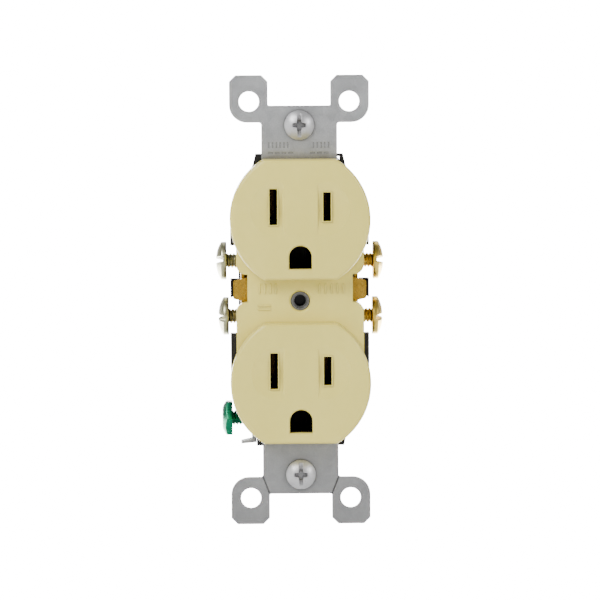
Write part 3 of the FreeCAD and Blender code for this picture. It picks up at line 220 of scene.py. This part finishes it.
def galvanised():
    """Rolled zinc-coated steel: faint spangle and fine scratches, with painted shade that darkens it
    towards the bottom, in its corners and in the boss.
    """
    s = Shader("galvanised_strap")
    spangle = s.remap(s.cells(520.0), 0.2, 0.8)
    cloud = s.remap(s.noise(140.0, 5.0, 0.6), 0.3, 0.7)
    rolled = s.noise(700.0, 3.0, vector=s.stretch(0.05, 1.0, 1.0))
    grain = s.noise(3200.0, 5.0, 0.7)
    base = s.mix(cloud, (0.375, 0.382, 0.390), (0.470, 0.476, 0.482))
    base = s.mix(s.math("MULTIPLY", spangle, 0.34), base, (0.56, 0.565, 0.57))
    base = s.mix(s.remap(grain, 0.45, 0.75, 0.0, 0.45), base, (0.24, 0.245, 0.25))
    edge = s.edges(0.00018)
    base = s.mix(s.math("MULTIPLY", edge, 0.25), base, (0.60, 0.60, 0.60))
    # Painted shade: the strap turns darker towards the bottom, as if lit from above.
    lower_shade = s.remap(s.split()["Z"], 0.0, -0.052)
    base = s.mix(s.math("MULTIPLY", lower_shade, 0.62), base, (0.22, 0.22, 0.22))
    # Painted shade: darker in corners, round the screw heads and along the cover, where contact
    # shadow falls.
    corner_shade = s.crevice(0.0018, 0.3, 0.88)
    base = s.mix(corner_shade, (0.07, 0.07, 0.065), base)
    # Painted shade: the boss's bore, within about 4 mm of the middle, is darkened.
    from_middle = s.node("ShaderNodeVectorMath", operation="LENGTH")
    s.link(s.stretch(1.0, 0.0, 1.0), from_middle.inputs[0])
    clear_of_boss_shade = s.remap(from_middle.outputs["Value"], 0.0032, 0.0042)
    base = s.mix(clear_of_boss_shade, (0.19, 0.19, 0.18), base)
    rough = s.remap(rolled, 0.3, 0.7, 0.38, 0.52)
    rough = s.math("ADD", rough, s.remap(cloud, 0.0, 1.0, 0.0, 0.08))
    height = s.math("ADD", s.math("MULTIPLY", rolled, 0.5), s.math("MULTIPLY", grain, 0.6))
    normal = s.bump(height, 0.000022, 0.8, s.rounded(0.00010))
    return s.finish(base, rough, normal, Metallic=0.85)


def plated(name, light, dark, stain, rough=(0.22, 0.38), metallic=1.0, edge=None, gain=0.5,
           hollow_shade=(0.0009, 0.15, 0.7), inner_shade=None):
    """A plated metal with drawing lines, stains, edges made brighter as wear, and painted shade in
    its corners; a given dark edge colour paints shade along the edges instead.

    The parts nearer the middle than the case's side, which sit inside the case, take a dark colour
    there as painted shade, if one is given.
    """
    s = Shader(name)
    cloud = s.remap(s.noise(260.0, 5.0, 0.6), 0.3, 0.7)
    spots = s.remap(s.noise(1400.0, 4.0, 0.6), 0.55, 0.75)
    lines = s.noise(2600.0, 3.0, vector=s.stretch(1.0, 0.08, 0.3))
    base = s.mix(cloud, light, dark)
    base = s.mix(s.math("MULTIPLY", spots, 0.45), base, stain)
    bright = [min(1.0, c * 1.25 + 0.05) for c in light]
    # Edges turn brighter as wear by default; a given dark edge colour instead paints shade along
    # them.
    base = s.mix(s.math("MULTIPLY", s.edges(0.00022), gain), base, edge or bright)
    # Painted shade: the strips inside the case are darkened.
    if inner_shade:
        beside = s.math("ABSOLUTE", s.split()["X"])
        base = s.mix(s.remap(beside, 0.0097, 0.0105), inner_shade, base)
    # Painted shade: darker in corners and recesses, where ambient occlusion finds them.
    base = s.mix(s.crevice(*hollow_shade), [c * 0.25 for c in stain], base)
    rough = s.remap(lines, 0.3, 0.7, rough[0], rough[1])
    rough = s.math("ADD", rough, s.math("MULTIPLY", spots, 0.12))
    normal = s.bump(lines, 0.000006, 0.5, s.rounded(0.00008))
    return s.finish(base, rough, normal, Metallic=metallic)


def fibre():
    """Pressed fibre board."""
    s = Shader("pressed_fibre")
    strands = s.noise(1500.0, 6.0, 0.7, vector=s.stretch(1.0, 1.0, 0.3), distortion=0.6)
    base = s.mix(s.remap(strands, 0.3, 0.7), (0.30, 0.19, 0.10), (0.18, 0.10, 0.05))
    # Painted shade: darker in corners, where ambient occlusion finds them.
    base = s.mix(s.crevice(0.001, 0.2, 0.8), (0.07, 0.04, 0.02), base)
    normal = s.bump(strands, 0.00005, 0.8)
    return s.finish(base, 0.85, normal, Specular_IOR_Level=0.25)


def make_materials():
    """Every finish, by the record's material slot."""
    return {
        "cover_plastic": ivory(),
        "case_plastic": black_case(),
        "strap_steel": galvanised(),
        # The rolled brass takes deep painted shade in its recesses and inside the case.
        "strip_brass": plated("rolled_brass", (0.68, 0.42, 0.06), (0.54, 0.32, 0.04),
                              (0.24, 0.12, 0.015), gain=0.3, hollow_shade=(0.004, 0.12, 0.42),
                              inner_shade=(0.075, 0.045, 0.015)),
        "rivet_steel": plated("rivet_steel", (0.50, 0.50, 0.50), (0.40, 0.40, 0.40),
                              (0.28, 0.27, 0.26)),
        # The dark edge colours of the screws below are painted shade along the rims of their heads
        # and recesses.
        "silver_screw": plated("nickel_screw", (0.53, 0.52, 0.34), (0.40, 0.39, 0.23),
                               (0.18, 0.15, 0.08), (0.26, 0.40), edge=(0.10, 0.09, 0.05),
                               gain=0.85),
        "brass_screw": plated("brass_screw", (0.86, 0.64, 0.16), (0.70, 0.50, 0.10),
                              (0.32, 0.21, 0.05), (0.24, 0.38), edge=(0.15, 0.10, 0.02),
                              gain=0.85),
        "green_screw": plated("green_screw", (0.003, 0.215, 0.105), (0.002, 0.145, 0.068),
                              (0.001, 0.080, 0.040), (0.24, 0.38), 0.75,
                              edge=(0.001, 0.060, 0.030), gain=0.6),
        # Painted shade: the mounting screws' dark edges stand in for the shadow ring round their
        # heads.
        "mounting_screw": plated("zinc_screw", (0.60, 0.60, 0.61), (0.46, 0.46, 0.47),
                                 (0.26, 0.26, 0.26), (0.34, 0.48), 0.6, edge=(0.08, 0.08, 0.08),
                                 gain=0.85, hollow_shade=(0.0016, 0.35, 0.85)),
        "fibre": fibre(),
        "spring_steel": plated("spring_steel", (0.58, 0.57, 0.55), (0.46, 0.45, 0.43),
                               (0.32, 0.30, 0.27), (0.18, 0.30)),
    }


MATERIALS = make_materials()
SLOTS = {row["node"]: row["material_slot"] for row in frame["record"]["subparts"]}


def paint(piece, slot):
    """Give a piece the finish of one slot."""
    piece.data.materials.clear()
    piece.data.materials.append(MATERIALS[slot])


def paint_nodes():
    """Give every CAD node its finish, with smooth shading across low angles."""
    for name, piece in NODES.items():
        paint(piece, SLOTS[name])
        for face in piece.data.polygons:
            face.use_smooth = True
        with bpy.context.temp_override(object=piece, active_object=piece,
                                       selected_objects=[piece],
                                       selected_editable_objects=[piece]):
            bpy.ops.object.shade_smooth_by_angle(angle=math.radians(28))


paint_nodes()


# ------------------------------------------------------------ turned screws

THREAD_RADIUS = 1.75
THREAD_PITCH = 0.794
THREAD_DEPTH = 0.33
THREAD_STEPS = 8
HEXAGON_CROWN = 1.35
SLOT_FLOOR = 0.35
SHANK_OVERLAP = 0.05
AROUND_HEAD = 176
AROUND_SHANK = 48


def smooth_step(value):
    """0 below 0, 1 above 1 and a soft rise between."""
    value = min(1.0, max(0.0, value))
    return value * value * (3.0 - 2.0 * value)


def slot_depth(across, half_width, depth, soft=0.12):
    """How deep a straight slot is at a distance across it."""
    return depth * smooth_step((half_width - abs(across)) / soft + 0.5)


def cross_depth(x, y, reach, half_width, depth):
    """How deep a tapered cross recess is at a place on the head."""
    deepest = 0.0
    for along_wing, across_wing in ((abs(x), y), (abs(y), x)):
        taper = smooth_step((reach - along_wing) / (reach * 0.55))
        width = half_width * (0.55 + 0.45 * (1.0 - along_wing / reach))
        deepest = max(deepest, taper * slot_depth(across_wing, width, depth))
    return deepest


def hexagon_radius(angle, flat):
    """The distance from the middle of a hexagon to its side."""
    turn = (angle + math.radians(30)) % math.radians(60) - math.radians(30)
    return flat / math.cos(turn)


def dome_top(screw, part):
    """The height of the head's crown at a part of its radius."""
    if "hexagon" in screw:
        return screw["height"] - HEXAGON_CROWN * smooth_step((part - 0.45) / 0.75)
    rise = screw["height"] - screw["rim"]
    return screw["rim"] + rise * (1.0 - part ** 2.4)


def head_rings(screw):
    """Rings of points from near the middle of the crown to under the head."""
    rings = []
    parts = [0.04, 0.08] + [0.12 + 0.88 * i / 40 for i in range(41)]
    for part in parts:
        ring = []
        for step in range(AROUND_HEAD):
            angle = 2 * math.pi * step / AROUND_HEAD
            radius = screw["radius"]
            if "hexagon" in screw:
                radius = hexagon_radius(angle, screw["hexagon"])
            x = radius * part * math.cos(angle)
            y = radius * part * math.sin(angle)
            reach = math.hypot(x, y) / screw["radius"]
            top = dome_top(screw, reach)
            cut = slot_depth(x if screw["upright"] else y, screw["slot"], screw["slot_depth"])
            cut_level = screw["height"] - cut
            if screw.get("cross"):
                cut_level = min(cut_level, screw["height"] - cross_depth(x, y, *screw["cross"]))
            ring.append((x, y, max(SLOT_FLOOR, min(top, cut_level))))
        rings.append(ring)
    soft_rim = [(x, y, z - 0.06) for x, y, z in rings[-1]]
    rings[-1] = [(x * 0.992, y * 0.992, z) for x, y, z in rings[-1]]
    rings.append(soft_rim)
    rings.append([(x, y, 0.08) for x, y, z in soft_rim])
    rings.append([(x * 0.985, y * 0.985, 0.0) for x, y, z in soft_rim])
    return rings


def shank_radius(screw, depth, angle):
    """The radius of the shank at a depth under the head."""
    if depth < screw["neck"]:
        return screw["neck_radius"]
    turn = (depth / THREAD_PITCH + angle / (2 * math.pi)) % 1.0
    flank = abs(turn - 0.5) * 2.0
    valley = THREAD_DEPTH * smooth_step((0.78 - flank) / 0.62)
    return THREAD_RADIUS - valley


def shank_ring(depth, radius_at):
    """One ring of points round the shank at a depth under the head."""
    ring = []
    for turn in range(AROUND_SHANK):
        angle = 2 * math.pi * turn / AROUND_SHANK
        radius = radius_at(angle)
        ring.append((radius * math.cos(angle), radius * math.sin(angle), -depth))
    return ring


def shank_rings(screw):
    """Rings of points from under the head to the tip."""
    rings = []
    end = screw["length"] - screw["tip"]
    count = int(end / THREAD_PITCH * THREAD_STEPS)
    for step in range(count + 1):
        depth = end * step / count
        rings.append(shank_ring(depth, lambda angle: shank_radius(screw, depth, angle)))
    for radius, depth in screw["tip_profile"]:
        rings.append(shank_ring(depth, lambda angle: radius))
    return rings


def loft(mesh, rings, first, last):
    """Join rings of points into one closed skin between two end points."""
    rows = [[mesh.verts.new([c * MM for c in point]) for point in ring] for ring in rings]
    start = mesh.verts.new([c * MM for c in first])
    end = mesh.verts.new([c * MM for c in last])
    count = len(rings[0])
    for index in range(count):
        after = (index + 1) % count
        mesh.faces.new((start, rows[0][index], rows[0][after]))
        mesh.faces.new((end, rows[-1][after], rows[-1][index]))
        for high, low in zip(rows, rows[1:]):
            mesh.faces.new((high[index], low[index], low[after], high[after]))


def screw_mesh(name, screw):
    """One mesh of a head and of a threaded shank that reaches into it."""
    mesh = bmesh.new()
    deepest = max(screw["slot_depth"], screw.get("cross", (0, 0, 0))[2])
    loft(mesh, head_rings(screw), (0, 0, screw["height"] - deepest), (0, 0, 0))
    loft(mesh, shank_rings(screw), (0, 0, SHANK_OVERLAP), (0, 0, -screw["length"]))
    for face in mesh.faces:
        face.smooth = True
    data = bpy.data.meshes.new(name)
    mesh.to_mesh(data)
    mesh.free()
    return data


def staked_tip(length):
    """The spread tip of a screw that can't be taken out."""
    return [(1.78, length - 0.62), (2.0, length - 0.58), (2.03, length - 0.35),
            (1.9, length - 0.15), (1.55, length), (0.5, length - 0.03)]


def plain_tip(length):
    """The bevelled tip of a machine screw."""
    return [(1.6, length - 0.5), (1.2, length - 0.04), (0.8, length)]


def terminal_screw():
    """The sizes of a binding screw of a terminal, in millimetres."""
    return {
        "radius": 4.54, "rim": 1.25, "height": 2.49, "upright": False,
        "slot": 0.6, "slot_depth": 1.65, "cross": (1.95, 0.5, 1.7),
        "neck": 0.0, "length": 7.8, "tip": 0.75,
        "tip_profile": staked_tip(7.8),
    }


def ground_screw():
    """The sizes of the six-sided ground screw, in millimetres."""
    return {
        "radius": 4.58, "hexagon": 3.96, "height": 2.39, "upright": False,
        "slot": 0.55, "slot_depth": 1.05,
        "neck": 0.0, "length": 7.4, "tip": 0.75,
        "tip_profile": staked_tip(7.4),
    }


def mounting_screw():
    """The sizes of a screw that holds the strap, in millimetres."""
    return {
        "radius": 3.54, "rim": 0.55, "height": 1.99, "upright": True,
        "slot": 0.42, "slot_depth": 0.85, "cross": (1.95, 0.62, 1.35),
        "neck": 2.2, "neck_radius": 1.49, "length": 25.4, "tip": 0.55,
        "tip_profile": plain_tip(25.4),
    }


def place_screw(node, screw, place, facing):
    """Put a detailed screw where its CAD node is."""
    piece = bpy.data.objects.new(f"{node}_detail", screw_mesh(f"{node}_detail", screw))
    bpy.context.scene.collection.objects.link(piece)
    piece.matrix_world = Matrix.Translation([c * MM for c in place]) @ facing
    paint(piece, SLOTS[node])
    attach(piece, f"{node}_body")
    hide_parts(node)


def make_screws():
    """The four terminal screws, the ground screw and the two long screws.

    A row gives a node, its side, how far out the underside of its head is, its height and the turn of
    its slot.
    """
    terminal_depth = 9.5
    ground_place = (-16.2, 8.0, -28.7)
    mounting_height = 41.67
    for node, side, under, height, turned in (
        ("neutral_screw_upper", -1, 17.4, 9.0, 8),
        ("neutral_screw_lower", -1, 16.9, -4.3, -5),
        ("hot_screw_upper", 1, 17.75, 9.0, -6),
        ("hot_screw_lower", 1, 17.55, -4.3, 4),
    ):
        facing = Matrix.Rotation(math.radians(90 * side), 4, "Y")
        facing = facing @ Matrix.Rotation(math.radians(90 + turned), 4, "Z")
        place = (under * side, terminal_depth, height)
        place_screw(node, terminal_screw(), place, facing)
    facing = Matrix.Rotation(math.radians(-90), 4, "Y")
    place_screw("ground_screw", ground_screw(), ground_place, facing)
    facing = Matrix.Rotation(math.radians(90), 4, "X")
    for end, sign in (("upper", 1), ("lower", -1)):
        place = (0.0, 0.0, mounting_height * sign)
        place_screw(f"mounting_screw_{end}", mounting_screw(), place, facing)


make_screws()


# ------------------------------------------------------- floor, light, camera


def sweep_profile():
    """The floor's line from front to back: flat, then round, then straight up."""
    level = -0.0945
    front = -1.8
    flat_end = 1.4
    radius = 1.0
    top = 3.0
    steps = 24
    profile = [(front, level), (flat_end, level)]
    for step in range(1, steps + 1):
        angle = math.radians(90 * step / steps)
        y = flat_end + radius * math.sin(angle)
        z = level + radius * (1 - math.cos(angle))
        profile.append((y, z))
    profile.append((flat_end + radius, top))
    return profile


def floor_finish():
    """A pale matt floor with a lit strip behind the object, as wide as a studio's backdrop."""
    strip_front = (0.05, 0.16)
    strip_side = (0.26, 0.60)
    strip_top = (0.16, 0.45)
    strip_glow = 16.0
    floor_glow = 0.25
    s = Shader("pale_floor")
    tone = s.remap(s.noise(3.0, 2.0), 0.3, 0.7)
    color = s.mix(tone, (0.90, 0.90, 0.90), (0.88, 0.88, 0.885))
    s.surface.inputs["Emission Color"].default_value = (1.0, 1.0, 1.0, 1.0)
    parts = s.split()
    behind = s.remap(parts["Y"], *strip_front)
    beside = s.remap(s.math("ABSOLUTE", parts["X"]), *strip_side, 1.0, 0.0)
    above = s.remap(parts["Z"], *strip_top, 1.0, 0.0)
    glow = s.math("MULTIPLY", s.math("MULTIPLY", behind, beside), above)
    glow = s.math("ADD", s.math("MULTIPLY", glow, strip_glow), floor_glow)
    s.link(glow, s.surface.inputs["Emission Strength"])
    return s.finish(color, 0.9, Specular_IOR_Level=0.1)


def make_floor():
    """A pale floor that rises into a backdrop behind the object."""
    half_width = 2.6
    profile = sweep_profile()
    verts = []
    for y, z in profile:
        verts.append((-half_width, y, z))
        verts.append((half_width, y, z))
    faces = []
    for index in range(len(profile) - 1):
        low = index * 2
        faces.append((low, low + 1, low + 3, low + 2))
    mesh = bpy.data.meshes.new("floor")
    mesh.from_pydata(verts, [], faces)
    for face in mesh.polygons:
        face.use_smooth = True
    mesh.materials.append(floor_finish())
    floor = bpy.data.objects.new("floor", mesh)
    bpy.context.scene.collection.objects.link(floor)


def aim(thing, target):
    """Point the -Z axis of a light or camera at a place."""
    direction = Vector(target) - thing.location
    thing.rotation_euler = direction.to_track_quat("-Z", "Y").to_euler()


def area_light(name, place, size, power):
    """A soft square light that points at the middle of the object."""
    data = bpy.data.lights.new(name, "AREA")
    data.shape = "SQUARE"
    data.size = size
    data.energy = power
    light = bpy.data.objects.new(name, data)
    light.location = place
    bpy.context.scene.collection.objects.link(light)
    aim(light, (0.0, 0.0, 0.0))


def make_lights():
    """One large lamp at the upper left, with weak fills round the object."""
    area_light("key", (-0.75, -0.85, 0.85), 0.6, 21.5)
    area_light("fill_right", (1.0, -0.75, 0.40), 0.5, 8.5)
    area_light("fill_left", (-1.1, -0.3, 0.10), 0.5, 1.6)
    area_light("back_top", (0.2, 0.7, 1.0), 0.6, 2.0)
    world = bpy.data.worlds.new("studio")
    world.use_nodes = True
    background = world.node_tree.nodes["Background"]
    background.inputs["Color"].default_value = (1.0, 1.0, 1.0, 1.0)
    background.inputs["Strength"].default_value = 0.16
    bpy.context.scene.world = world


def make_camera():
    """The camera, slightly to the left of the object and above it."""
    azimuth = math.radians(1.4)
    elevation = math.radians(3.9)
    distance = 0.95
    pixels_per_metre = 4200.0
    frame_pixels = 600.0
    sensor = 36.0
    data = bpy.data.cameras.new("camera")
    data.sensor_width = sensor
    data.lens = pixels_per_metre * distance * sensor / frame_pixels
    data.clip_start = 0.01
    data.clip_end = 20.0
    camera = bpy.data.objects.new("camera", data)
    target = Vector((0.0, 0.0, 0.00005))
    away = Vector((
        -math.sin(azimuth) * math.cos(elevation),
        -math.cos(azimuth) * math.cos(elevation),
        math.sin(elevation),
    ))
    camera.location = target + away * distance
    bpy.context.scene.collection.objects.link(camera)
    facing = (-away).to_track_quat("-Z", "Y").to_matrix()
    roll = Matrix.Rotation(math.radians(-0.3), 3, "Z")
    camera.rotation_euler = (facing @ roll).to_euler()
    bpy.context.scene.camera = camera


make_floor()
make_lights()
make_camera()
